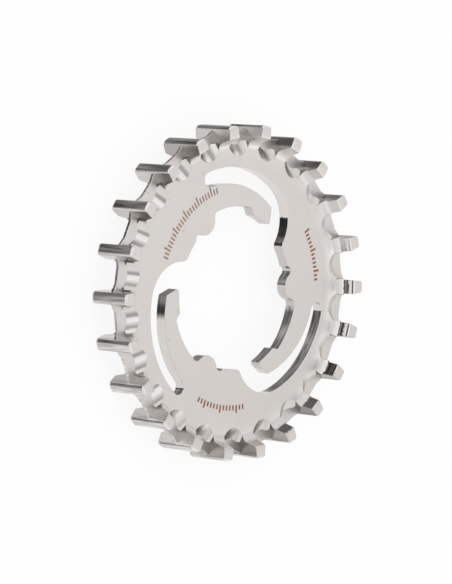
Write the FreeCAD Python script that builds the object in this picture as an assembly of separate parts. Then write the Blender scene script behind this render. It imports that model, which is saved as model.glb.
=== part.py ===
import FreeCAD, Part
import math
import os

from FreeCAD import Vector

# Belt drive sprocket: one machined stainless plate with a toothed rim.
# The origin is on the axis, half-way across the teeth. +Z points to the marked face, +X through a tooth.
# All lengths are in millimetres and all angles in degrees.

# Teeth and rim
TOOTH_COUNT = 22
BELT_PITCH = 11.0
TIP_BELOW_PITCH = 0.71
RIM_WIDTH = 10.9
RIM_DEPTH = 2.85
TOOTH_WIDTH_AT_TIP = 2.6
TOOTH_WIDTH_AT_ROOT = 3.25
TOOTH_HEIGHT = 3.6
TOOTH_TIP_ROUND = 0.9
TOOTH_END_BREAK = 0.25

# Centre fin that tracks the belt's groove
FIN_THICKNESS = 0.8
FIN_BELOW_TIP = 1.8
FIN_FLAT_WIDTH = 3.95
FIN_END_BELOW_ROUND = 0.05

# Clearing pockets beside the fin
POCKET_WIDTH = 5.95
POCKET_START_RADIUS = 30.5
POCKET_SLOPE = 27.6
POCKET_TROUGH_RADIUS = 5.6

# Plate inside the rim
PLATE_FRONT = 1.75
PLATE_THICKNESS = 2.7
RECESS_WALL_TILT = 18.0
FRONT_RECESS_FILLET = 2.2
BACK_RECESS_BEVEL = 1.2
RECESS_EDGE_BREAK = 0.2

# Drive opening: one lobe, seat, arm and slot, repeated round the axis
SECTOR_COUNT = 3
LOBE_ANGLE = -96.1
SEAT_RADIUS = 17.4
SEAT_END_FROM_LOBE = 32.65
SEAT_END_ROUND = 1.6
LOBE_HEIGHT = 1.43
LOBE_ROUND = 3.25
NOTCH_DEPTH = 0.7
NOTCH_ROUND = 1.1
HOLLOW_DEPTH = 1.97
HOLLOW_END_FROM_LOBE = -45.9
HOLLOW_CORNER_ROUND = 0.35
LOBE_ROOT_ROUND = 1.3
TAB_DEPTH = 0.5
TAB_START_FROM_LOBE = -49.4
TAB_START_ROUND = 0.5
TAB_END_FROM_LOBE = -67.9
TAB_END_ROUND = 0.7
ARM_END_FROM_LOBE = -62.7
ARM_END_ROUND = 0.4

# Spiral slot behind each arm
ARM_OUTER_RADIUS = 20.55
ARM_CENTRE_OFFSET = 5.08
ARM_CENTRE_FROM_LOBE = 7.6
SLOT_OUTER_RADIUS = 23.47
SLOT_CENTRE_OFFSET = 5.17
SLOT_CENTRE_FROM_LOBE = -9.6
SLOT_END_FROM_LOBE = -17.6
RAMP_START_FROM_LOBE = -72.0

# Cutting solids run past the metal by this much, and points nearer than this are one point
OVERCUT = 1.0
SAME_POINT = 1e-4

PITCH_RADIUS = TOOTH_COUNT * BELT_PITCH / (2.0 * math.pi)
TIP_RADIUS = PITCH_RADIUS - TIP_BELOW_PITCH
RIM_INNER_RADIUS = TIP_RADIUS - RIM_DEPTH
ROOT_RADIUS = TIP_RADIUS - TOOTH_HEIGHT
FIN_RADIUS = TIP_RADIUS - FIN_BELOW_TIP
TOOTH_STEP = 360.0 / TOOTH_COUNT
SECTOR_STEP = 360.0 / SECTOR_COUNT
RIM_TOP = RIM_WIDTH / 2.0
LOBE_TOP_RADIUS = SEAT_RADIUS - LOBE_HEIGHT
NOTCH_ROOT_RADIUS = SEAT_RADIUS + NOTCH_DEPTH
HOLLOW_RADIUS = SEAT_RADIUS + HOLLOW_DEPTH
TAB_INNER_RADIUS = SEAT_RADIUS + TAB_DEPTH
PLATE_BACK = PLATE_FRONT - PLATE_THICKNESS


def polar(radius, angle, height=0.0):
    """Return the point at a radius and an angle about the axis."""
    turn = math.radians(angle)
    return Vector(radius * math.cos(turn), radius * math.sin(turn), height)


def unit(vector):
    """Return the vector at length one."""
    return vector.multiply(1.0 / vector.Length)


def circles_meet(centre_a, radius_a, centre_b, radius_b, side):
    """Return where two circles cross, on the left (+1) or the right (-1) of the way from a to b."""
    gap = centre_b - centre_a
    along = (gap.Length ** 2 + radius_a ** 2 - radius_b ** 2) / (2.0 * gap.Length)
    across = math.sqrt(radius_a ** 2 - along ** 2)
    forward = unit(Vector(gap))
    left = Vector(-forward.y, forward.x, 0.0)
    return centre_a + forward * along + left * (side * across)


def arc_about(centre, start, end, clockwise):
    """Return the arc about a centre from start to end, turning the stated way."""
    radius = (start - centre).Length
    first = math.atan2(start.y - centre.y, start.x - centre.x)
    last = math.atan2(end.y - centre.y, end.x - centre.x)
    full_turn = 2.0 * math.pi
    sweep = (first - last) % full_turn if clockwise else (last - first) % full_turn
    middle = first - sweep / 2.0 if clockwise else first + sweep / 2.0
    through = centre + Vector(radius * math.cos(middle), radius * math.sin(middle), 0.0)
    return Part.Arc(start, through, end).toShape()


def line(start, end):
    """Return the straight edge between two points."""
    return Part.LineSegment(start, end).toShape()


def prism(edges, bottom, top):
    """Return the upright solid over a closed outline drawn at height zero."""
    wire = Part.Wire(Part.__sortEdges__(edges))
    face = Part.Face(wire)
    face.translate(Vector(0, 0, bottom))
    return face.extrude(Vector(0, 0, top - bottom))


def rounded(solid, corners):
    """Round the upright edges that stand at the given points, each with its own radius."""
    for point, radius in corners:
        edges = [edge for edge in solid.Edges if stands_at(edge, point)]
        solid = solid.makeFillet(radius, edges)
    return solid


def stands_at(edge, point):
    """Tell whether an edge is upright and stands at a point of the outline."""
    start = edge.Vertexes[0].Point
    end = edge.Vertexes[-1].Point
    flat_start = Vector(start.x, start.y, 0.0)
    flat_end = Vector(end.x, end.y, 0.0)
    upright = flat_start.distanceToPoint(flat_end) < SAME_POINT
    return upright and flat_start.distanceToPoint(point) < SAME_POINT


def copies_about_axis(shape, count, step):
    """Return copies of a shape turned round the axis in equal steps."""
    copies = []
    for index in range(count):
        copy = shape.copy()
        copy.rotate(Vector(0, 0, 0), Vector(0, 0, 1), index * step)
        copies.append(copy)
    return copies


def turned_blank():
    """Return the turned body: a flat plate inside a rim, with a dished recess on both faces."""
    front = blank_side(PLATE_FRONT, 1.0)
    back = blank_side(PLATE_BACK, -1.0)
    tip = line(
        Vector(TIP_RADIUS, 0.0, RIM_TOP - TOOTH_END_BREAK),
        Vector(TIP_RADIUS, 0.0, TOOTH_END_BREAK - RIM_TOP),
    )
    core = line(Vector(0.0, 0.0, PLATE_FRONT), Vector(0.0, 0.0, PLATE_BACK))
    outline = Part.Wire(Part.__sortEdges__(front + back + [tip, core]))
    return Part.Face(outline).revolve(Vector(0, 0, 0), Vector(0, 0, 1), 360)


def blank_side(floor, sign):
    """Return one face's outline from the axis to the tooth tips: front (+1) filleted, back (-1) bevelled."""
    rim = sign * RIM_TOP
    tilt = math.radians(RECESS_WALL_TILT)
    up_wall = Vector(math.sin(tilt), 0.0, sign * math.cos(tilt))
    centre = Vector(0.0, 0.0, floor)
    lip = Vector(RIM_INNER_RADIUS, 0.0, rim)
    wall_foot = lip - up_wall * (abs(rim - floor) / math.cos(tilt))
    lip_inner = lip - up_wall * RECESS_EDGE_BREAK
    lip_outer = Vector(RIM_INNER_RADIUS + RECESS_EDGE_BREAK, 0.0, rim)
    end_inner = Vector(TIP_RADIUS - TOOTH_END_BREAK, 0.0, rim)
    end_outer = Vector(TIP_RADIUS, 0.0, rim - sign * TOOTH_END_BREAK)
    if sign > 0.0:
        fillet = corner_arc(centre, wall_foot, lip, FRONT_RECESS_FILLET)
        floor_end = fillet[0]
        wall_start = fillet[2]
        corner = Part.Arc(*fillet).toShape()
    else:
        floor_end = wall_foot - Vector(BACK_RECESS_BEVEL, 0.0, 0.0)
        wall_start = wall_foot + up_wall * BACK_RECESS_BEVEL
        corner = line(floor_end, wall_start)
    return [
        line(centre, floor_end),
        corner,
        line(wall_start, lip_inner),
        line(lip_inner, lip_outer),
        line(lip_outer, end_inner),
        line(end_inner, end_outer),
    ]


def corner_arc(before, corner, after, radius):
    """Return the start, middle and end of the arc that rounds a corner between two straight lines."""
    back = unit(before - corner)
    ahead = unit(after - corner)
    half_angle = back.getAngle(ahead) / 2.0
    bisector = unit(back + ahead)
    centre = corner + bisector * (radius / math.sin(half_angle))
    tangent = radius / math.tan(half_angle)
    return corner + back * tangent, centre - bisector * radius, corner + ahead * tangent


def tooth_flank_point(radius, width):
    """Return the point on a tooth's flank at a radius, seen from the middle of the gap along +X."""
    half_step = math.radians(TOOTH_STEP / 2.0)
    along = math.sqrt(radius ** 2 - (width / 2.0) ** 2)
    return Vector(
        along * math.cos(half_step) + width / 2.0 * math.sin(half_step),
        along * math.sin(half_step) - width / 2.0 * math.cos(half_step),
        0.0,
    )


def mirrored(point):
    """Return the point mirrored across the gap's middle line."""
    return Vector(point.x, -point.y, point.z)


def gap_prism(upper_corners, bottom, top):
    """Return the gap's upright cutting solid from its corners on one side of the middle line."""
    outside = TIP_RADIUS + 2.0 * OVERCUT
    tip = upper_corners[0][0]
    sideways = Vector(-tip.y, tip.x, 0.0) * (2.0 * TOOTH_TIP_ROUND / tip.Length)
    shoulder = tip + sideways
    over_tip = shoulder * (outside / shoulder.Length)
    half = [(over_tip, 0.0), (shoulder, 0.0)] + upper_corners
    ring = half + [(mirrored(point), radius) for point, radius in reversed(half)]
    points = [point for point, radius in ring]
    edges = [line(points[index - 1], points[index]) for index in range(len(points))]
    solid = prism(edges, bottom, top)
    return rounded(solid, [(point, radius) for point, radius in ring if radius > 0.0])


def gap_cutter():
    """Return the solid that cuts one gap: clear above the fin's edge, with a slanted pocket on each side."""
    tip = tooth_flank_point(TIP_RADIUS, TOOTH_WIDTH_AT_TIP)
    root = tooth_flank_point(ROOT_RADIUS, TOOTH_WIDTH_AT_ROOT)
    down_flank = unit(root - tip)
    fin_end = tip + down_flank * (TOOTH_TIP_ROUND + FIN_END_BELOW_ROUND)
    fin_flat = Vector(FIN_RADIUS, FIN_FLAT_WIDTH / 2.0, 0.0)

    low = -RIM_TOP - OVERCUT
    high = RIM_TOP + OVERCUT
    fin_side = FIN_THICKNESS / 2.0
    over_fin = [(tip, TOOTH_TIP_ROUND), (fin_end, 0.0), (fin_flat, 0.0)]
    beside_fin = [(tip, TOOTH_TIP_ROUND), (root, 0.0)]
    return gap_prism(over_fin, low, high).fuse([
        gap_prism(beside_fin, fin_side, high),
        gap_prism(beside_fin, low, -fin_side),
        pocket(fin_side, high, root.x).common(trough(PLATE_FRONT, 1.0)),
        pocket(low, -fin_side, root.x).common(trough(PLATE_BACK, -1.0)),
    ])


def pocket(bottom, top, root):
    """Return the upright block that keeps a trough between a pocket's two side walls."""
    start = POCKET_START_RADIUS - OVERCUT
    corner = Vector(start, -POCKET_WIDTH / 2.0, bottom)
    return Part.makeBox(root + OVERCUT - start, POCKET_WIDTH, top - bottom, corner)


def trough(face_height, sign):
    """Return the slanted round-bottomed channel that starts on a face of the plate and runs outwards."""
    slope = math.radians(POCKET_SLOPE)
    outward = Vector(math.cos(slope), 0.0, -sign * math.sin(slope))
    upward = Vector(math.sin(slope), 0.0, sign * math.cos(slope))
    across = Vector(0.0, 1.0, 0.0)
    rise = sign * (face_height - sign * FIN_THICKNESS / 2.0)
    start_radius = fin_meet_radius() - rise / math.tan(slope)
    start = Vector(start_radius, 0.0, face_height)
    back_off = 3.0 * POCKET_TROUGH_RADIUS
    reach = 6.0 * POCKET_TROUGH_RADIUS
    low = start - outward * back_off
    axis_point = low + upward * POCKET_TROUGH_RADIUS
    left = axis_point + across * POCKET_TROUGH_RADIUS
    right = axis_point - across * POCKET_TROUGH_RADIUS
    height = upward * (reach + OVERCUT)
    outline = Part.Wire([
        Part.Arc(left, low, right).toShape(),
        line(right, right + height),
        line(right + height, left + height),
        line(left + height, left),
    ])
    return Part.Face(outline).extrude(outward * reach)


def fin_meet_radius():
    """Return the radius where the middle of a pocket's trough runs into the side of the fin."""
    drop = PLATE_FRONT - FIN_THICKNESS / 2.0
    return POCKET_START_RADIUS + drop / math.tan(math.radians(POCKET_SLOPE))


def opening_outline():
    """Return the edges of the drive opening: a lobe, seat, arm and spiral slot in each sector."""
    edges = []
    corners = []
    for index in range(SECTOR_COUNT):
        sector_edges, sector_corners = opening_sector(LOBE_ANGLE + index * SECTOR_STEP)
        edges.extend(sector_edges)
        corners.extend(sector_corners)
    return edges, corners


def opening_sector(lobe_angle):
    """Return one sector's edges and the corners to round, from the seat's end to the next sector's seat."""
    origin = Vector(0, 0, 0)
    lobe_centre = polar(LOBE_TOP_RADIUS + LOBE_ROUND, lobe_angle)
    arm_centre = polar(ARM_CENTRE_OFFSET, lobe_angle + ARM_CENTRE_FROM_LOBE)
    slot_centre = polar(SLOT_CENTRE_OFFSET, lobe_angle + SLOT_CENTRE_FROM_LOBE)
    seat_end = polar(SEAT_RADIUS, lobe_angle + SEAT_END_FROM_LOBE)
    next_seat_end = polar(SEAT_RADIUS, lobe_angle + SEAT_END_FROM_LOBE - SECTOR_STEP)

    notch_centre = circles_meet(
        origin, NOTCH_ROOT_RADIUS - NOTCH_ROUND, lobe_centre, LOBE_ROUND + NOTCH_ROUND, 1.0
    )
    lobe_side = lobe_centre + unit(notch_centre - lobe_centre) * LOBE_ROUND
    seat_start = circles_meet(origin, SEAT_RADIUS, notch_centre, NOTCH_ROUND, 1.0)
    lobe_foot = circles_meet(origin, HOLLOW_RADIUS, lobe_centre, LOBE_ROUND, -1.0)

    hollow_end = polar(HOLLOW_RADIUS, lobe_angle + HOLLOW_END_FROM_LOBE)
    tab_start = polar(TAB_INNER_RADIUS, lobe_angle + TAB_START_FROM_LOBE)
    tab_end = polar(TAB_INNER_RADIUS, lobe_angle + TAB_END_FROM_LOBE)
    arm_end_ray = polar(100.0, lobe_angle + ARM_END_FROM_LOBE)
    arm_end = ray_meets_circle(arm_end_ray, arm_centre, ARM_OUTER_RADIUS)

    towards_end = polar(1.0, lobe_angle + SLOT_END_FROM_LOBE)
    end_round = slot_end_round(arm_centre - slot_centre, towards_end)
    arm_start = arm_centre + towards_end * ARM_OUTER_RADIUS
    round_centre = arm_centre + towards_end * (ARM_OUTER_RADIUS + end_round)
    slot_start = slot_centre + unit(round_centre - slot_centre) * SLOT_OUTER_RADIUS

    towards_ramp = polar(1.0, lobe_angle + RAMP_START_FROM_LOBE)
    ramp_start = slot_centre + towards_ramp * SLOT_OUTER_RADIUS
    ramp_centre = ramp_start - towards_ramp * tangent_radius(ramp_start, towards_ramp, next_seat_end)

    edges = [
        arc_about(origin, seat_end, seat_start, True),
        arc_about(notch_centre, seat_start, lobe_side, True),
        arc_about(lobe_centre, lobe_side, lobe_foot, False),
        arc_about(origin, lobe_foot, hollow_end, True),
        line(hollow_end, tab_start),
        arc_about(origin, tab_start, tab_end, True),
        line(tab_end, arm_end),
        arc_about(arm_centre, arm_end, arm_start, False),
        arc_about(round_centre, arm_start, slot_start, True),
        arc_about(slot_centre, slot_start, ramp_start, True),
        arc_about(ramp_centre, ramp_start, next_seat_end, True),
    ]
    corners = [
        (seat_end, SEAT_END_ROUND),
        (lobe_foot, LOBE_ROOT_ROUND),
        (hollow_end, HOLLOW_CORNER_ROUND),
        (tab_start, TAB_START_ROUND),
        (tab_end, TAB_END_ROUND),
        (arm_end, ARM_END_ROUND),
    ]
    return edges, corners


def slot_end_round(between_centres, towards_end):
    """Return the radius that fills the slot's closed end, tangent to the arm's edge and the slot's."""
    leaning = between_centres.dot(towards_end)
    room = SLOT_OUTER_RADIUS ** 2 - ARM_OUTER_RADIUS ** 2 - between_centres.Length ** 2
    return (room - 2.0 * ARM_OUTER_RADIUS * leaning) / (2.0 * (leaning + ARM_OUTER_RADIUS + SLOT_OUTER_RADIUS))


def tangent_radius(start, outwards, end):
    """Return the radius of the arc that leaves start square to the outward direction and passes through end."""
    chord = end - start
    return -chord.dot(chord) / (2.0 * chord.dot(outwards))


def ray_meets_circle(ray, centre, radius):
    """Return where the ray from the axis leaves a circle."""
    forward = unit(Vector(ray))
    along = forward.dot(centre)
    across_squared = centre.Length ** 2 - along ** 2
    return forward * (along + math.sqrt(radius ** 2 - across_squared))


def opening_cutter():
    """Return the upright solid that cuts the drive opening and the three slots as one hole."""
    edges, corners = opening_outline()
    solid = prism(edges, PLATE_BACK - OVERCUT, PLATE_FRONT + OVERCUT)
    return rounded(solid, corners)


def sprocket():
    """Return the finished sprocket as one solid."""
    gap = gap_cutter()
    gap.rotate(Vector(0, 0, 0), Vector(0, 0, 1), TOOTH_STEP / 2.0)
    blank = turned_blank().cut(opening_cutter())
    body = blank.cut(copies_about_axis(gap, TOOTH_COUNT, TOOTH_STEP))
    return body.removeSplitter()


def main():
    """Write the sprocket's one solid to its STEP file."""
    os.makedirs("parts", exist_ok=True)
    body = sprocket()
    solid = body.Solids[0]
    solid.exportStep("parts/belt_sprocket.step")


if __name__ == "__main__":
    main()
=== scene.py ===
"""A machined belt sprocket, lying flat on a pale floor under plain soft studio light."""

import logging
import math
from dataclasses import dataclass
from enum import Enum
from typing import Any

import bmesh
import bpy
from mathutils import Matrix, Vector


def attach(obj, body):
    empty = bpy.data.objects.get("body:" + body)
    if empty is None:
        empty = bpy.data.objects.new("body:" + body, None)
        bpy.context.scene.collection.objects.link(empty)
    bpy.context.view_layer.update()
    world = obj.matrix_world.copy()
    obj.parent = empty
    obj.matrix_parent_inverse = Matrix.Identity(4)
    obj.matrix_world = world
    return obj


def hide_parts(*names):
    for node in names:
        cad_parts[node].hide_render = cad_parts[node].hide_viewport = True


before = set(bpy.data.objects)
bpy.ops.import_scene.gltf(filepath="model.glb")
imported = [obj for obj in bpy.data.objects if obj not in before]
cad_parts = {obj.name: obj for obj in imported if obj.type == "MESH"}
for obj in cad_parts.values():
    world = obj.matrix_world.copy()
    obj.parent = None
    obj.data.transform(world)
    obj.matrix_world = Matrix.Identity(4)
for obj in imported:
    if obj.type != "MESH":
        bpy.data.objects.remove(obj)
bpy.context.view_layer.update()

LOG = logging.getLogger("sprocket")
NODE = "belt_sprocket"
MM = 0.001
FLOOR_LEVEL = -5.45 * MM
PLATE_LEVEL = 1.75 * MM
HALF_TURN = 180.0

Colour = tuple[float, float, float]
Span = tuple[float, float]


class Surface(Enum):
    """The differently finished surfaces of the sprocket, in order of material slots."""

    FACE = 0
    RECESS = 1
    OPENING = 2
    RIM = 3
    TIP = 4


class Value:
    """A number socket on which Python's operators add Math nodes."""

    def __init__(self, shader: "Shader", socket: bpy.types.NodeSocket) -> None:
        """Wraps a socket.

        Args:
            shader: The shader that the socket's node belongs to.
            socket: The output socket.
        """
        self.shader = shader
        self.socket = socket

    def math(self, operation: str, *others: Any) -> "Value":
        """Adds a Math node that starts from this value.

        Args:
            operation: The Math node's operation.
            others: The second and third operands, values or numbers.

        Returns:
            The result as a value.
        """
        return self.shader.calculate(operation, self, *others)

    def __add__(self, other: Any) -> "Value":
        """Adds another value."""
        return self.math("ADD", other)

    def __radd__(self, other: Any) -> "Value":
        """Adds this value to a number."""
        return self.shader.calculate("ADD", other, self)

    def __sub__(self, other: Any) -> "Value":
        """Takes another value away."""
        return self.math("SUBTRACT", other)

    def __rsub__(self, other: Any) -> "Value":
        """Takes this value away from a number."""
        return self.shader.calculate("SUBTRACT", other, self)

    def __mul__(self, other: Any) -> "Value":
        """Multiplies by another value."""
        return self.math("MULTIPLY", other)

    def __rmul__(self, other: Any) -> "Value":
        """Multiplies a number by this value."""
        return self.shader.calculate("MULTIPLY", other, self)

    def __truediv__(self, other: Any) -> "Value":
        """Divides by another value."""
        return self.math("DIVIDE", other)

    def __rtruediv__(self, other: Any) -> "Value":
        """Divides a number by this value."""
        return self.shader.calculate("DIVIDE", other, self)


def even(cells: float) -> Vector:
    """Gives noise the same number of cells per metre along each axis."""
    return Vector((cells, cells, cells))


class Shader:
    """A material or world tree with short ways to add its nodes."""

    def __init__(self, owner: bpy.types.ID) -> None:
        """Empties the node tree of a material or world.

        Args:
            owner: The material or world.
        """
        owner.use_nodes = True
        self.tree = owner.node_tree
        self.tree.nodes.clear()

    def node(self, kind: str, settings: dict[str, Any] | None = None,
             inputs: dict[Any, Any] | None = None) -> bpy.types.Node:
        """Adds a node.

        Args:
            kind: The node's type.
            settings: Its settings, set first; "stops" are the stops of a ramp.
            inputs: Values or links by the name or number of the socket.

        Returns:
            The new node.
        """
        made = self.tree.nodes.new(kind)
        for name, setting in (settings or {}).items():
            if name == "stops":
                self._set_stops(made.color_ramp, setting)
            else:
                setattr(made, name, setting)
        for name, given in (inputs or {}).items():
            self._feed(made.inputs[name], given)
        return made

    def _set_stops(self, ramp: bpy.types.ColorRamp,
                   stops: tuple[tuple[float, Colour], ...]) -> None:
        """Gives a ramp its stops.

        Args:
            ramp: The ramp, which has two stops to begin with.
            stops: Positions and colours, in order.
        """
        while len(ramp.elements) < len(stops):
            ramp.elements.new(0.5)
        for element, (position, colour) in zip(ramp.elements, stops):
            element.position = position
            element.color = (*colour, 1.0)

    def _feed(self, socket: bpy.types.NodeSocket, given: Any) -> None:
        """Links a socket or sets its value.

        Args:
            socket: The input socket.
            given: A value, an output socket, a number, a colour or a vector.
        """
        if isinstance(given, Value):
            given = given.socket
        if isinstance(given, bpy.types.NodeSocket):
            self.tree.links.new(given, socket)
        elif socket.type == "RGBA" and len(given) == 3:
            socket.default_value = (*given, 1.0)
        else:
            socket.default_value = given

    def calculate(self, operation: str, *operands: Any) -> Value:
        """Adds a Math node.

        Args:
            operation: The Math node's operation.
            operands: Its operands, values or numbers.

        Returns:
            The result as a value.
        """
        made = self.node("ShaderNodeMath", {"operation": operation}, dict(enumerate(operands)))
        return Value(self, made.outputs[0])

    def between(self, amount: Value, low: float, high: float) -> Value:
        """Rises smoothly from 0 to 1 as an amount goes from low to high.

        Args:
            amount: The amount.
            low: Where the result leaves 0.
            high: Where the result reaches 1.

        Returns:
            The smooth step.
        """
        made = self.node("ShaderNodeMapRange", {"interpolation_type": "SMOOTHSTEP"},
                         {0: amount, 1: low, 2: high, 3: 0.0, 4: 1.0})
        return Value(self, made.outputs[0])

    def mix(self, factor: Any, first: Any, second: Any) -> bpy.types.NodeSocket:
        """Mixes two colours.

        Args:
            factor: How much of the second colour shows.
            first: A colour or colour socket.
            second: A colour or colour socket.

        Returns:
            The mixed colour's socket.
        """
        made = self.node("ShaderNodeMix", {"data_type": "RGBA"},
                         {0: factor, 6: first, 7: second})
        return made.outputs[2]

    def noise(self, at: bpy.types.NodeSocket, scale: Vector, detail: float) -> Value:
        """Adds noise that may be stretched.

        Args:
            at: The coordinates, in metres.
            scale: Cells per metre along each axis.
            detail: The noise's detail.

        Returns:
            The noise, about 0.5 on average.
        """
        placed = self.node("ShaderNodeMapping", {"vector_type": "POINT"}, {0: at, 3: scale})
        made = self.node("ShaderNodeTexNoise", {"noise_dimensions": "3D"},
                         {"Vector": placed.outputs[0], "Scale": 1.0, "Detail": detail})
        return Value(self, made.outputs[0])


class SteelShader(Shader):
    """A steel surface's tree, with the sprocket's own coordinates worked out.

    The cosine and sine are those of the place's angle round the axis. In the picture the
    x axis points up and the y axis to the left.
    """

    def __init__(self, material: bpy.types.Material) -> None:
        """Adds the coordinates that the finishes share.

        Args:
            material: The material to fill.
        """
        super().__init__(material)
        coordinates = self.node("ShaderNodeTexCoord")
        self.at = coordinates.outputs["Object"]
        place = self.node("ShaderNodeSeparateXYZ", None, {0: self.at})
        self.x, self.y, self.z = (Value(self, socket) for socket in place.outputs)
        self.normal = coordinates.outputs["Normal"]
        facing = self.node("ShaderNodeSeparateXYZ", None, {0: self.normal})
        self.normal_x, self.normal_y, self.normal_z = (Value(self, socket)
                                                       for socket in facing.outputs)
        self.radius = (self.x * self.x + self.y * self.y).math("SQRT")
        self.angle = self.y.math("ARCTAN2", self.x)
        self.cosine = self.x / self.radius
        self.sine = self.y / self.radius

    def toward(self, azimuth: float) -> Value:
        """Tells how far round a place lies from a direction.

        Args:
            azimuth: The direction, in degrees from the x axis.

        Returns:
            The cosine of the angle between the place and the direction.
        """
        turn = math.radians(azimuth)
        return (self.x * math.cos(turn) + self.y * math.sin(turn)) / self.radius

    def facing(self, azimuth: float) -> Value:
        """Tells how squarely a wall is turned to a direction or to its opposite.

        Args:
            azimuth: The direction, in degrees from the x axis.

        Returns:
            1 where the wall faces the direction or its opposite, 0 where it stands along it.
        """
        turn = math.radians(azimuth)
        return (self.normal_x * math.cos(turn) + self.normal_y * math.sin(turn)).math("ABSOLUTE")

    def finish(self, colour: Any, roughness: Any, height: Value, depth: float) -> None:
        """Adds the steel shader and the output.

        Args:
            colour: The base colour.
            roughness: The roughness.
            height: The height of the fine relief, from 0 to 1.
            depth: The depth of that relief, in metres.
        """
        bump = self.node("ShaderNodeBump", None,
                         {"Strength": 1.0, "Distance": depth, "Height": height})
        steel = self.node("ShaderNodeBsdfPrincipled", None,
                          {"Base Color": colour, "Roughness": roughness, "Metallic": 1.0,
                           "Normal": bump.outputs[0]})
        self.node("ShaderNodeOutputMaterial", None, {0: steel.outputs[0]})


@dataclass(frozen=True)
class TickScale:
    """An arc of plain laser-darkened ticks on the plate's front face, each fifth one long."""

    middle: float
    half_width: float
    radius: float
    tick_length: float
    ticks: int
    strength: float
    group: int = 5
    short_share: float = 0.65
    tick_edge: Span = (0.22, 0.29)
    long_edge: Span = (0.09, 0.11)
    end_blur: float = 0.002
    ring_edge: Span = (0.0, 0.05 * MM)

    def mask(self, shader: SteelShader) -> Value:
        """Finds where the ticks are.

        Args:
            shader: The face's shader.

        Returns:
            1 on a tick and 0 elsewhere.
        """
        turn = math.radians(self.middle)
        across = shader.x * -math.sin(turn) + shader.y * math.cos(turn)
        along = shader.x * math.cos(turn) + shader.y * math.sin(turn)
        offset = across.math("ARCTAN2", along)
        half = math.radians(self.half_width)
        step = 2.0 * half / self.ticks
        on_arc = 1.0 - shader.between(offset.math("ABSOLUTE"), half, half + self.end_blur)
        phase = ((offset + half) / step).math("FRACT")
        on_tick = 1.0 - shader.between((phase - 0.5).math("ABSOLUTE"), *self.tick_edge)
        phase = ((offset + half) / (self.group * step)).math("FRACT")
        is_long = 1.0 - shader.between((phase - 0.5).math("ABSOLUTE"), *self.long_edge)
        share = is_long * (1.0 - self.short_share) + self.short_share
        depth = shader.radius - self.radius
        past_end = shader.between(depth - share * self.tick_length, *self.ring_edge)
        in_ring = shader.between(depth, *self.ring_edge) * (1.0 - past_end)
        return on_arc * on_tick * in_ring * self.strength


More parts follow.
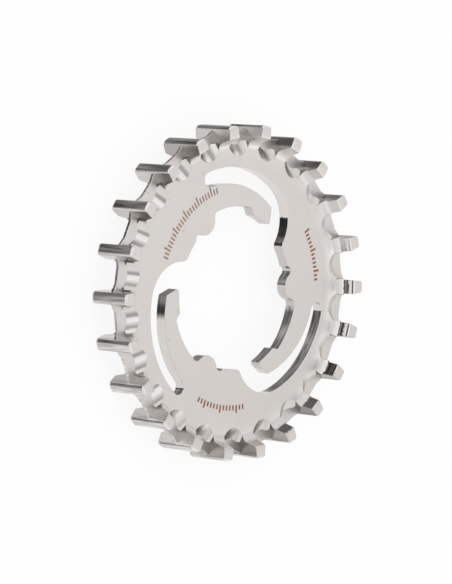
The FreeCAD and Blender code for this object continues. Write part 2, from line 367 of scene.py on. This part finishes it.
@dataclass(frozen=True)
class SatinFace:
    """Fine blasted faces: the plate, the rim's land and the ends of the teeth, with painted
    shade towards the bottom of the picture and a painted highlight where the plate rises into
    the recess wall.
    """

    colour: Colour = (0.630, 0.600, 0.580)
    shade: Colour = (0.588, 0.560, 0.540)
    # low is the painted shade colour towards the bottom of the picture; white is the painted
    # highlight colour where the plate rises into the recess wall.
    low: Colour = (0.530, 0.505, 0.487)
    white: Colour = (0.980, 0.960, 0.945)
    pit: Colour = (0.180, 0.170, 0.160)
    mark: Colour = (0.215, 0.082, 0.032)
    scales: tuple[TickScale, ...] = (
        TickScale(34.5, 27.5, 23.1 * MM, 2.2 * MM, 25, 0.80),
        TickScale(-81.0, 14.0, 25.4 * MM, 1.7 * MM, 13, 1.00),
        TickScale(162.0, 17.0, 25.4 * MM, 1.8 * MM, 15, 1.00),
    )
    roughness: float = 0.29
    grain_roughness: float = 0.16
    cloud_roughness: float = 0.10
    relief: float = 0.004 * MM
    cloud_cells: float = 90.0
    grain_cells: float = 5200.0
    pit_cells: float = 1300.0
    cloud_share: float = 0.6
    tone_range: Span = (0.30, 0.74)
    painted_shade_span: Span = (-34.0 * MM, 34.0 * MM)
    fillet_start: Span = (28.8 * MM, 31.4 * MM)
    fillet_foot: Span = (1.45 * MM, 1.65 * MM)
    fillet_head: Span = (2.2 * MM, 3.0 * MM)
    fillet_side: Span = (-0.20, 0.50)
    foot_start: Span = (31.0 * MM, 32.2 * MM)
    foot_highlight: float = 0.12
    right_side: Span = (-0.65, -0.90)
    right_highlight: float = 0.23
    upper_side: Span = (0.12, 0.40)
    upper_loss: float = 0.85
    even_highlight: float = 0.06
    pit_range: Span = (0.83, 0.86)
    pit_strength: float = 0.5
    front_level: Span = (PLATE_LEVEL - 0.3 * MM, PLATE_LEVEL - 0.1 * MM)
    mark_grain: Span = (0.20, 0.52)

    def dress(self, material: bpy.types.Material) -> None:
        """Fills the material.

        Args:
            material: The material to fill.
        """
        shader = SteelShader(material)
        cloud = shader.noise(shader.at, even(self.cloud_cells), 3.0)
        grain = shader.noise(shader.at, even(self.grain_cells), 2.0)
        tone = shader.between(cloud * self.cloud_share + grain * (1.0 - self.cloud_share),
                              *self.tone_range)
        base = shader.mix(tone, self.shade, self.colour)
        # Painted shade: the face darkens towards the bottom of the picture.
        base = shader.mix(shader.between(shader.x, *self.painted_shade_span), self.low, base)
        # Painted highlight where the plate rises into the recess wall: lighter on the right of
        # the picture and near the wall, less at the top.
        base = shader.mix(self._fillet_painted_highlight(shader), base, self.white)
        pits = shader.noise(shader.at, even(self.pit_cells), 0.0)
        base = shader.mix(shader.between(pits, *self.pit_range) * self.pit_strength,
                          base, self.pit)
        marks: Any = 0.0
        for scale in self.scales:
            marks = scale.mask(shader) + marks
        marks = marks * shader.between(shader.z, *self.front_level)
        base = shader.mix(marks * shader.between(grain, *self.mark_grain), base, self.mark)
        roughness = (grain * self.grain_roughness + cloud * self.cloud_roughness
                     + self.roughness)
        shader.finish(base, roughness, grain, self.relief)

    def _fillet_painted_highlight(self, shader: SteelShader) -> Value:
        """Finds how much painted highlight the plate gets as it rises into the recess wall.

        Args:
            shader: The face's shader.

        Returns:
            The share of white.
        """
        fillet = (shader.between(shader.radius, *self.fillet_start)
                  * shader.between(shader.z, *self.fillet_foot)
                  * (1.0 - shader.between(shader.z, *self.fillet_head))
                  * (1.0 - shader.between(shader.sine, *self.fillet_side)))
        foot = shader.between(shader.radius, *self.foot_start) * self.foot_highlight
        right = shader.between(shader.sine, *self.right_side) * self.right_highlight
        upper = shader.between(shader.cosine, *self.upper_side) * self.upper_loss
        return fillet * ((right + foot) * (1.0 - upper) + self.even_highlight)


@dataclass(frozen=True)
class TurnedRecess:
    """The curved wall of the recess, with the fine rings that turning leaves and a painted
    reflection: a dark band with a white band and a dark line above it, and painted highlight
    higher up and on the right.
    """

    colour: Colour = (0.650, 0.624, 0.604)
    # white and dark are the painted highlight and painted reflection colours; dark also marks
    # the faint turning rings.
    white: Colour = (0.980, 0.970, 0.960)
    dark: Colour = (0.030, 0.028, 0.027)
    roughness: float = 0.34
    line_roughness: float = 0.12
    relief: float = 0.002 * MM
    line_cells: Vector = Vector((3800.0, 500.0, 3800.0))
    line_stretch: float = 2.0 * MM
    speck_cells: float = 1500.0
    speck_height: float = 0.8 * MM
    band_azimuth: float = -130.0
    band_width: Span = (0.58, 0.82)
    fading: Span = (-0.05, 0.30)
    fading_loss: float = 0.22
    turning: Span = (0.03, 0.22)
    band_foot: Span = (2.90 * MM, 3.00 * MM)
    band_top: float = 5.35 * MM
    band_drop: float = 1.15 * MM
    top_edge: Span = (-0.10 * MM, 0.0)
    above_edge: Span = (0.0, 0.15 * MM)
    line_height: float = 5.05 * MM
    line_edge: Span = (0.14 * MM, 0.20 * MM)
    line_strength: float = 0.90
    lift: Span = (2.4 * MM, 3.6 * MM)
    lift_strength: float = 0.25
    rise: Span = (1.80 * MM, 2.80 * MM)
    rise_strength: float = 0.12
    right_side: Span = (-0.65, -0.90)
    right_rise: float = 0.34
    reflection_break_range: Span = (0.44, 0.60)
    reflection_break_strength: float = 0.45
    ring_range: Span = (0.34, 0.60)
    ring_strength: float = 0.06

    def dress(self, material: bpy.types.Material) -> None:
        """Fills the material.

        Args:
            material: The material to fill.
        """
        shader = SteelShader(material)
        ring = shader.node("ShaderNodeCombineXYZ", None,
                           {0: shader.radius, 1: shader.angle * self.line_stretch,
                            2: shader.z})
        lines = shader.noise(ring.outputs[0], self.line_cells, 2.0)
        specks = shader.noise(shader.at, even(self.speck_cells), 2.0)
        along = shader.toward(self.band_azimuth)
        across = shader.toward(self.band_azimuth + 90.0)
        fading = 1.0 - shader.between(across * -1.0, *self.fading) * self.fading_loss
        strength = shader.between(along.math("ABSOLUTE"), *self.band_width) * fading
        turning = shader.between(across, *self.turning)
        height = shader.z + (specks - 0.5) * self.speck_height
        over = height - (turning * -self.band_drop + self.band_top)
        band = (shader.between(height, *self.band_foot)
                * (1.0 - shader.between(over, *self.top_edge)))
        above = shader.between(over, *self.above_edge) * turning * strength
        from_line = (shader.z - self.line_height).math("ABSOLUTE")
        line = (1.0 - shader.between(from_line, *self.line_edge)) * turning * strength
        right = shader.between(shader.sine, *self.right_side)
        rise = (shader.between(shader.z, *self.rise)
                * (right * self.right_rise + self.rise_strength))
        lift = shader.between(shader.z, *self.lift) * self.lift_strength
        # Painted highlight: the wall gets lighter higher up, more on the right of the picture.
        base = shader.mix(rise + lift, self.colour, self.white)
        # Painted highlight: a white band just above the painted dark band.
        base = shader.mix(above, base, self.white)
        # Streaks break up the painted dark reflection band on the right of the picture.
        reflection_breaks = shader.between(lines, *self.reflection_break_range) * right * self.reflection_break_strength
        # Painted reflection: a dark band along the wall.
        base = shader.mix(band * strength * (1.0 - reflection_breaks), base, self.dark)
        # Painted reflection: a thin dark line near the top of the wall.
        base = shader.mix(line * self.line_strength, base, self.dark)
        rings = 1.0 - shader.between(lines, *self.ring_range)
        base = shader.mix(rings * self.ring_strength, base, self.dark)
        shader.finish(base, lines * self.line_roughness + self.roughness, lines, self.relief)


@dataclass(frozen=True)
class MilledRim:
    """Flanks, pockets and fins, milled smooth, with painted reflection bands where they curve
    and painted shade and highlights on the flanks by where they stand.
    """

    # white, brown and dark paint highlights, shade and dark reflections; brown also colours the
    # scored lines.
    white: Colour = (0.960, 0.945, 0.930)
    light: Colour = (0.660, 0.636, 0.615)
    grey: Colour = (0.420, 0.402, 0.386)
    brown: Colour = (0.120, 0.098, 0.084)
    dark: Colour = (0.045, 0.042, 0.040)
    # Painted reflection bands across a pocket, dark and light by how far its surface has turned.
    trough_bands: tuple[tuple[float, Colour], ...] = (
        (0.03, (0.160, 0.140, 0.126)),
        (0.10, (0.300, 0.280, 0.262)),
        (0.15, (0.620, 0.600, 0.580)),
        (0.27, (0.660, 0.640, 0.620)),
        (0.31, (0.330, 0.312, 0.298)),
        (0.36, (0.560, 0.540, 0.520)),
        (0.44, (0.850, 0.835, 0.820)),
        (0.52, (0.800, 0.782, 0.765)),
        (0.565, (0.340, 0.326, 0.313)),
        (0.61, (0.400, 0.384, 0.369)),
        (0.66, (0.700, 0.680, 0.660)),
        (0.80, (0.640, 0.620, 0.601)),
        (0.90, (0.250, 0.228, 0.210)),
    )
    trough_middle: float = 0.45
    trough_turn: float = 0.5
    trough_waver: float = 0.10
    trough_slant: Span = (0.10, 0.26)
    trough_side: Span = (-0.45, 0.30)
    trough_least: float = 0.20
    roughness: float = 0.18
    line_roughness: float = 0.12
    relief: float = 0.002 * MM
    band_cells: float = 3.1
    line_cells: Vector = Vector((4200.0, 4200.0, 420.0))
    streak_cells: Vector = Vector((1700.0, 1700.0, 160.0))
    wall_slant: Span = (0.30, 0.55)
    band_range: Span = (0.34, 0.52)
    upper_side: Span = (-0.10, 0.35)
    deep_level: Span = (-0.4 * MM, 4.0 * MM)
    painted_shade_strength: float = 0.85
    deep_fading: Span = (0.75, 0.93)
    deep_loss: float = 0.65
    tip_ragged: float = 0.8 * MM
    tip_start: Span = (34.8 * MM, 35.8 * MM)
    tip_far: Span = (-0.40, 0.20)
    tip_strength: float = 0.88
    topmost: Span = (0.90, 0.96)
    topmost_loss: float = 0.60
    streak_ragged: float = 1.6 * MM
    streak_start: Span = (36.0 * MM, 36.9 * MM)
    streak_range: Span = (0.38, 0.52)
    streak_strength: float = 0.30
    front_level: Span = (-0.4 * MM, 0.4 * MM)
    front_strength: float = 0.50
    left_side: Span = (0.25, 0.65)
    left_start: Span = (33.8 * MM, 34.8 * MM)
    lowest: Span = (-0.50, -0.85)
    lowest_loss: float = 0.55
    shaded_side: Span = (0.05, 0.50)
    shaded_strength: float = 0.50
    line_range: Span = (0.32, 0.58)
    line_strength: float = 0.07

    def dress(self, material: bpy.types.Material) -> None:
        """Fills the material.

        Args:
            material: The material to fill.
        """
        shader = SteelShader(material)
        bands = shader.noise(shader.normal, even(self.band_cells), 0.0)
        lines = shader.noise(shader.at, self.line_cells, 2.0)
        slant = shader.normal_z.math("ABSOLUTE")
        wall = 1.0 - shader.between(slant, *self.wall_slant)
        # Painted reflection: grey and light bands that follow the way the surface faces.
        base = shader.mix(shader.between(bands, *self.band_range), self.grey, self.light)
        base = self._shade_flanks(shader, base, wall)
        base = shader.mix(shader.between(slant, *self.trough_slant), base,
                          self._trough(shader, bands))
        scored = (1.0 - shader.between(lines, *self.line_range)) * self.line_strength
        base = shader.mix(scored, base, self.brown)
        shader.finish(base, lines * self.line_roughness + self.roughness, lines, self.relief)

    def _shade_flanks(self, shader: SteelShader, base: bpy.types.NodeSocket,
                      wall: Value) -> bpy.types.NodeSocket:
        """Paints shade, dark reflections and highlights on the flanks of the teeth by where they
        stand.

        Args:
            shader: The rim's shader.
            base: The colour so far.
            wall: How far the surface is a flank, from 0 to 1.

        Returns:
            The shaded colour's socket.
        """
        streaks = shader.noise(shader.at, self.streak_cells, 2.0)
        upper = shader.between(shader.cosine, *self.upper_side)
        painted_shade = shader.between(shader.z, *self.deep_level) * self.painted_shade_strength
        fading = 1.0 - shader.between(shader.cosine, *self.deep_fading) * self.deep_loss
        # Painted shade: brown on the flanks of the upper teeth, stronger towards the front face.
        base = shader.mix(wall * upper * painted_shade * fading, base, self.brown)
        tip = shader.between(shader.radius + (streaks - 0.5) * self.tip_ragged,
                             *self.tip_start)
        far = shader.between(shader.sine, *self.tip_far)
        topmost = shader.between(shader.cosine, *self.topmost) * self.topmost_loss
        tip = tip * (1.0 - far) * (1.0 - topmost) * self.tip_strength
        # Painted reflection: a ragged dark band along the tips of the upper teeth.
        base = shader.mix(tip * wall * upper, base, self.dark)
        lower = wall * (1.0 - upper)
        outer = shader.between(shader.radius + (streaks - 0.5) * self.streak_ragged,
                               *self.streak_start)
        ragged = shader.between(streaks, *self.streak_range) * self.streak_strength
        # Painted reflection: ragged dark streaks on the outer flanks of the lower teeth.
        base = shader.mix(outer * ragged * lower, base, self.dark)
        front = shader.between(shader.z, *self.front_level) * lower * self.front_strength
        left = (shader.between(shader.sine, *self.left_side)
                * shader.between(shader.radius, *self.left_start))
        # Painted shade: brown on the front of the lower flanks, except on the left.
        base = shader.mix(front * (1.0 - left), base, self.brown)
        # Painted highlight: white on the front of the lower flanks on the left.
        return shader.mix(front * left, base, self.white)

    def _trough(self, shader: SteelShader, bands: Value) -> bpy.types.NodeSocket:
        """Paints reflection bands into the round pockets by how far their surface has turned,
        with painted shade on one side of the lowest pockets.

        Args:
            shader: The rim's shader.
            bands: Noise that makes the bands waver.

        Returns:
            The colour's socket.
        """
        tangent = (shader.x * shader.normal_y - shader.y * shader.normal_x) / shader.radius
        turned = tangent * self.trough_turn + bands * self.trough_waver + self.trough_middle
        ramp = shader.node("ShaderNodeValToRGB", {"stops": self.trough_bands}, {0: turned})
        shown = (shader.between(shader.sine, *self.trough_side) * (1.0 - self.trough_least)
                 + self.trough_least)
        lowest = shader.between(shader.cosine, *self.lowest)
        shown = shown * (1.0 - lowest * self.lowest_loss)
        shaded = shader.between(tangent, *self.shaded_side) * lowest * self.shaded_strength
        return shader.mix(shaded, shader.mix(shown, self.light, ramp.outputs[0]), self.brown)


@dataclass(frozen=True)
class OpeningWall:
    """Walls of the opening, with painted reflection bands: the dark and light bands that a
    bright cut wall shows as it turns.

    The bands and the limits named in degrees are angles that the wall has turned, and a
    wall that faces the other way counts the same.
    """

    # inner and outer are the lit walls' colours; dark is the painted dark reflection and shade.
    inner: Colour = (0.600, 0.580, 0.560)
    outer: Colour = (0.740, 0.715, 0.690)
    dark: Colour = (0.014, 0.0137, 0.0133)
    warmth: Colour = (1.000, 0.975, 0.950)
    # Painted reflection levels by how far the wall has turned.
    bands: tuple[tuple[float, float], ...] = (
        (0.0, 0.45), (3.0, 0.25), (8.0, 0.12), (15.0, 0.02), (25.0, 0.20), (38.0, 0.14),
        (52.0, 0.33), (58.0, 0.16), (66.0, 0.10),
    )
    waver: float = 0.06
    shift_degrees: float = 15.0
    shift_place: Span = (-10.0 * MM, 2.0 * MM)
    shift_degrees_range: Span = (20.0, 60.0)
    deep_place: Span = (2.0 * MM, 9.0 * MM)
    deep_degrees: Span = (36.0, 45.0)
    painted_shade_strength: float = 0.93
    left_place: Span = (0.0, 5.0 * MM)
    left_end_degrees: Span = (57.0, 61.0)
    left_end_strength: float = 0.70
    left_lit_degrees: Span = (64.5, 73.5)
    lit_degrees: Span = (69.0, 71.5)
    inner_lead_degrees: float = 4.5
    outer_start: Span = (19.5 * MM, 20.5 * MM)
    wall_slant: Span = (0.45, 0.80)
    roughness: float = 0.15
    streak_roughness: float = 0.18
    relief: float = 0.004 * MM
    streak_cells: Vector = Vector((230.0, 230.0, 2300.0))
    streak_range: Span = (0.38, 0.62)
    dark_streaks: float = 0.45
    light_streaks: float = 0.16
    bright_streaks: float = 0.05

    def dress(self, material: bpy.types.Material) -> None:
        """Fills the material.

        Args:
            material: The material to fill.
        """
        shader = SteelShader(material)
        streaks = shader.noise(shader.at, self.streak_cells, 2.0)
        azimuth = shader.normal_y.math("ARCTAN2", shader.normal_x)
        first, last = self.shift_degrees_range
        shift = (shader.between(shader.x, *self.shift_place)
                 * shader.between(azimuth, math.radians(first), math.radians(last))
                 * math.radians(self.shift_degrees))
        wavering = azimuth - shift + (streaks - 0.5) * self.waver
        turned = wavering.math("WRAP", math.pi, 0.0) / math.pi
        streaked = shader.between(streaks, *self.streak_range)
        left = shader.between(shader.y, *self.left_place)
        is_outer = shader.between(shader.radius, *self.outer_start)
        base = self._banded(shader, turned, streaked, left)
        bright = shader.mix(is_outer, self.inner, self.outer)
        bright = shader.mix((1.0 - streaked) * self.bright_streaks, bright, self.dark)
        lead = (1.0 - is_outer) * (self.inner_lead_degrees / HALF_TURN)
        lit = (self._past(shader, turned + lead, self.lit_degrees) * (1.0 - left)
               + self._past(shader, turned, self.left_lit_degrees) * left)
        wall = 1.0 - shader.between(shader.normal_z.math("ABSOLUTE"), *self.wall_slant)
        # Painted light: walls turned past the lit angles take the bright colour, the others the
        # painted reflection bands.
        base = shader.mix((1.0 - lit) * wall, bright, base)
        shader.finish(base, streaks * self.streak_roughness + self.roughness, streaks,
                      self.relief)

    def _past(self, shader: SteelShader, turned: Value, degrees: Span) -> Value:
        """Tells how far a wall has turned past a pair of angles.

        Args:
            shader: The wall's shader.
            turned: How far the wall has turned, where 1 is half a turn.
            degrees: Where the result leaves 0 and where it reaches 1.

        Returns:
            The smooth step.
        """
        return shader.between(turned, degrees[0] / HALF_TURN, degrees[1] / HALF_TURN)

    def _banded(self, shader: SteelShader, turned: Value, streaked: Value,
                left: Value) -> bpy.types.NodeSocket:
        """Colours the part of the walls that shows the painted reflection bands, with painted
        shade in the upper slot and on the left.

        Args:
            shader: The wall's shader.
            turned: How far the wall has turned, where 1 is half a turn.
            streaked: The cutter's streaks, from 0 to 1.
            left: 1 on the left of the picture and 0 on its right.

        Returns:
            The colour's socket.
        """
        stops = tuple((degrees / HALF_TURN, tuple(level * part for part in self.warmth))
                      for degrees, level in self.bands)
        ramp = shader.node("ShaderNodeValToRGB", {"stops": stops}, {0: turned})
        # Painted shade: darker walls in the upper slot.
        painted_shade = (shader.between(shader.x, *self.deep_place)
                * self._past(shader, turned, self.deep_degrees) * self.painted_shade_strength)
        base = shader.mix(painted_shade, ramp.outputs[0], self.dark)
        base = shader.mix((1.0 - streaked) * self.dark_streaks, base, self.dark)
        base = shader.mix(streaked * (1.0 - painted_shade) * self.light_streaks, base, self.inner)
        # Painted shade on the left walls turned past about 60 degrees.
        left_end = self._past(shader, turned, self.left_end_degrees) * left
        return shader.mix(left_end * self.left_end_strength, base, self.dark)


@dataclass(frozen=True)
class ToothTip:
    """Tooth tips whose streaks follow the cutter, with a painted dark reflection where they lie
    across the light.
    """

    light: Colour = (0.760, 0.735, 0.712)
    dark: Colour = (0.040, 0.038, 0.036)
    roughness: float = 0.17
    streak_roughness: float = 0.18
    relief: float = 0.004 * MM
    streak_cells: Vector = Vector((1900.0, 1900.0, 150.0))
    patch_cells: Vector = Vector((210.0, 210.0, 60.0))
    wall_slant: Span = (0.45, 0.80)
    dark_azimuth: float = 42.0
    dark_range: Span = (0.60, 0.86)
    mottle: float = 0.35
    raggedness: float = 0.60
    end_ragged: float = 0.25 * MM
    end_level: Span = (4.95 * MM, 5.01 * MM)
    streak_range: Span = (0.36, 0.66)
    patch_range: Span = (0.35, 0.65)
    streak_share: float = 0.6
    reflection_break_share: float = 0.30
    light_side_streaks: float = 0.40

    def dress(self, material: bpy.types.Material) -> None:
        """Fills the material.

        Args:
            material: The material to fill.
        """
        shader = SteelShader(material)
        streaks = shader.noise(shader.at, self.streak_cells, 3.0)
        patches = shader.noise(shader.at, self.patch_cells, 1.0)
        wall = 1.0 - shader.between(shader.normal_z.math("ABSOLUTE"), *self.wall_slant)
        # Painted reflection: dark where the tip faces the dark direction, made ragged by streaks
        # and patches.
        turned = (shader.facing(self.dark_azimuth) + (patches - 0.5) * self.mottle
                  + (streaks - 0.5) * self.raggedness)
        darkness = shader.between(turned, *self.dark_range) * wall
        height = shader.z.math("ABSOLUTE") + (streaks - 0.5) * self.end_ragged
        at_end = shader.between(height, *self.end_level)
        streaked = shader.between(streaks, *self.streak_range)
        patched = shader.between(patches, *self.patch_range)
        # Streaks and patches break up the painted dark reflection; where it is absent, streaks
        # darken the rest of the tip.
        reflection_breaks = streaked * self.streak_share + patched * (1.0 - self.streak_share)
        depth = (darkness * (1.0 - reflection_breaks * self.reflection_break_share)
                 + (1.0 - darkness) * (1.0 - streaked) * self.light_side_streaks)
        # The painted dark reflection and the streaks are left off the ends of the teeth.
        base = shader.mix(depth * (1.0 - at_end), self.light, self.dark)
        shader.finish(base, streaks * self.streak_roughness + self.roughness, streaks,
                      self.relief)


@dataclass(frozen=True)
class SprocketBody:
    """The sprocket's solid with its edges softened and each surface given its finish."""

    merge_distance: float = 0.0005 * MM
    flat_angle: float = math.radians(0.4)
    sharp_angle: float = math.radians(24.0)
    edge_width: float = 0.07 * MM
    level_face: float = 0.97
    inward_face: float = 0.15
    outward_face: float = 0.90
    tip_radius: float = 37.25 * MM
    opening_radius: float = 29.6 * MM

    def build(self) -> bpy.types.Object:
        """Builds the piece from a merged copy of the solid's mesh.

        Returns:
            The new object.
        """
        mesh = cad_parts[NODE].data.copy()
        mesh.name = "sprocket_body"
        mesh.materials.clear()
        shape = bmesh.new()
        shape.from_mesh(mesh)
        bmesh.ops.remove_doubles(shape, verts=shape.verts, dist=self.merge_distance)
        bmesh.ops.dissolve_limit(shape, angle_limit=self.flat_angle, verts=shape.verts,
                                 edges=shape.edges)
        for face in shape.faces:
            face.material_index = self.surface_of(face).value
            face.smooth = True
        self._soften_edges(shape)
        bmesh.ops.triangulate(shape, faces=[face for face in shape.faces if len(face.verts) > 4])
        for edge in shape.edges:
            edge.smooth = not self._is_sharp(edge)
        shape.to_mesh(mesh)
        shape.free()
        piece = bpy.data.objects.new("sprocket_body", mesh)
        bpy.context.scene.collection.objects.link(piece)
        weighted = piece.modifiers.new("face_weighted_normals", "WEIGHTED_NORMAL")
        weighted.keep_sharp = True
        weighted.weight = 100
        return piece

    def _is_sharp(self, edge: bmesh.types.BMEdge) -> bool:
        """Tells whether two faces meet in an edge rather than in a curve."""
        return edge.is_manifold and edge.calc_face_angle(0.0) > self.sharp_angle

    def _soften_edges(self, shape: bmesh.types.BMesh) -> None:
        """Breaks the outward edges by a hair's breadth, so that they catch the light.

        Args:
            shape: The mesh to change.
        """
        edges = [edge for edge in shape.edges if self._is_sharp(edge) and edge.is_convex]
        made = bmesh.ops.bevel(shape, geom=edges, offset=self.edge_width, offset_type="OFFSET",
                               segments=1, profile=0.5, affect="EDGES", material=-1,
                               clamp_overlap=False)
        for face in made["faces"]:
            if face.material_index == Surface.RECESS.value:
                face.material_index = Surface.FACE.value

    def surface_of(self, face: bmesh.types.BMFace) -> Surface:
        """Finds which surface of the sprocket a face belongs to.

        Args:
            face: The face.

        Returns:
            The surface.
        """
        middle = face.calc_center_median()
        radius = math.hypot(middle.x, middle.y)
        if abs(face.normal.z) > self.level_face:
            return Surface.FACE
        if radius < self.opening_radius:
            return Surface.OPENING
        inward = -(face.normal.x * middle.x + face.normal.y * middle.y) / radius
        if inward > self.inward_face:
            return Surface.RECESS
        if radius > self.tip_radius or inward < -self.outward_face:
            return Surface.TIP
        return Surface.RIM

    def dress(self, piece: bpy.types.Object) -> None:
        """Gives the piece a material for each surface.

        Args:
            piece: The object to dress.
        """
        finishes: dict[Surface, Any] = {
            Surface.FACE: SatinFace(),
            Surface.RECESS: TurnedRecess(),
            Surface.OPENING: OpeningWall(),
            Surface.RIM: MilledRim(),
            Surface.TIP: ToothTip(),
        }
        for surface in Surface:
            material = bpy.data.materials.new(f"steel_{surface.name.lower()}")
            finishes[surface].dress(material)
            piece.data.materials.append(material)

    def add(self) -> bpy.types.Object:
        """Builds and dresses the piece and puts it in the frame.

        Returns:
            The finished piece.
        """
        piece = self.build()
        self.dress(piece)
        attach(piece, "root")
        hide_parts(NODE)
        return piece


@dataclass(frozen=True)
class Studio:
    """The floor, the surroundings and the lamps."""

    floor_size: float = 4.0
    floor_colour: Colour = (0.95, 0.95, 0.95)
    floor_white: float = 0.88
    sky_level: float = 0.95
    key_place: Vector = Vector((-0.55, -0.65, 0.75))
    key_size: float = 0.7
    key_power: float = 1.0
    fill_place: Vector = Vector((0.75, 0.35, 0.65))
    fill_size: float = 0.6
    fill_power: float = 0.5

    def add(self) -> None:
        """Builds the floor, the world and the lamps."""
        self._add_floor()
        self._light_world()
        self._add_lamp("key_lamp", self.key_place, self.key_size, self.key_power)
        self._add_lamp("fill_lamp", self.fill_place, self.fill_size, self.fill_power)

    def _seen(self, shader: Shader) -> Value:
        """Finds the rays that see the background: straight, mirrored or through glass."""
        path = shader.node("ShaderNodeLightPath")
        camera, glossy, through = (Value(shader, path.outputs[name]) for name in
                                   ("Is Camera Ray", "Is Glossy Ray", "Is Transmission Ray"))
        return camera.math("MAXIMUM", glossy).math("MAXIMUM", through)

    def _add_floor(self) -> None:
        """Builds the pale floor, which keeps the sprocket's faint shadow."""
        shape = bmesh.new()
        bmesh.ops.create_grid(shape, x_segments=1, y_segments=1, size=self.floor_size / 2.0,
                              matrix=Matrix.Translation((0.0, 0.0, FLOOR_LEVEL)))
        mesh = bpy.data.meshes.new("floor")
        shape.to_mesh(mesh)
        shape.free()
        floor = bpy.data.objects.new("floor", mesh)
        bpy.context.scene.collection.objects.link(floor)
        material = bpy.data.materials.new("pale_floor")
        shader = Shader(material)
        matt = shader.node("ShaderNodeBsdfDiffuse", None, {0: self.floor_colour})
        white = shader.node("ShaderNodeEmission", None, {0: (1.0, 1.0, 1.0), 1: 1.0})
        mixed = shader.node("ShaderNodeMixShader", None,
                            {0: self._seen(shader) * self.floor_white, 1: matt.outputs[0],
                             2: white.outputs[0]})
        shader.node("ShaderNodeOutputMaterial", None, {0: mixed.outputs[0]})
        mesh.materials.append(material)

    def _light_world(self) -> None:
        """Makes the surroundings white to look at and a little dimmer as a light."""
        world = bpy.data.worlds.new("studio")
        bpy.context.scene.world = world
        shader = Shader(world)
        seen = self._seen(shader)
        level = seen + (1.0 - seen) * self.sky_level
        sky = shader.node("ShaderNodeBackground", None, {0: (1.0, 1.0, 1.0), 1: level})
        shader.node("ShaderNodeOutputWorld", None, {0: sky.outputs[0]})

    def _add_lamp(self, name: str, place: Vector, size: float, power: float) -> None:
        """Adds a square soft lamp that points at the sprocket.

        Args:
            name: The lamp's name.
            place: Where it hangs, in metres.
            size: The length of its side, in metres.
            power: Its power, in watts.
        """
        light = bpy.data.lights.new(name, "AREA")
        light.size = size
        light.energy = power
        lamp = bpy.data.objects.new(name, light)
        lamp.matrix_world = (Matrix.Translation(place)
                             @ (-place).to_track_quat("-Z", "Y").to_matrix().to_4x4())
        bpy.context.scene.collection.objects.link(lamp)


@dataclass(frozen=True)
class PictureCamera:
    """The camera at the picture's viewing angle."""

    target: Vector = Vector((0.667 * MM, 3.182 * MM, 1.75 * MM))
    azimuth: float = 75.885
    elevation: float = 44.35
    roll: float = 95.186
    distance: float = 902.5 * MM
    lens: float = 248.859
    clip_start: float = 10.0 * MM

    def add(self) -> None:
        """Builds the camera and makes it the scene's own."""
        data = bpy.data.cameras.new("camera")
        data.lens = self.lens
        data.clip_start = self.clip_start
        camera = bpy.data.objects.new("camera", data)
        turn, rise = math.radians(self.azimuth), math.radians(self.elevation)
        away = Vector((math.cos(rise) * math.cos(turn), math.cos(rise) * math.sin(turn),
                       math.sin(rise)))
        level = away.to_track_quat("Z", "Y").to_matrix().to_4x4()
        rolled = level @ Matrix.Rotation(math.radians(self.roll), 4, "Z")
        camera.matrix_world = Matrix.Translation(self.target + away * self.distance) @ rolled
        bpy.context.scene.collection.objects.link(camera)
        bpy.context.scene.camera = camera


def main() -> None:
    """Builds the scene, piece by piece."""
    logging.basicConfig(level=logging.INFO, format="%(name)s: %(message)s")
    bpy.context.scene.view_settings.view_transform = "Standard"
    PictureCamera().add()
    LOG.info("camera placed")
    Studio().add()
    LOG.info("studio lit")
    body = SprocketBody().add()
    LOG.info("%s built with %d faces", body.name, len(body.data.polygons))


if __name__ == "__main__":
    main()
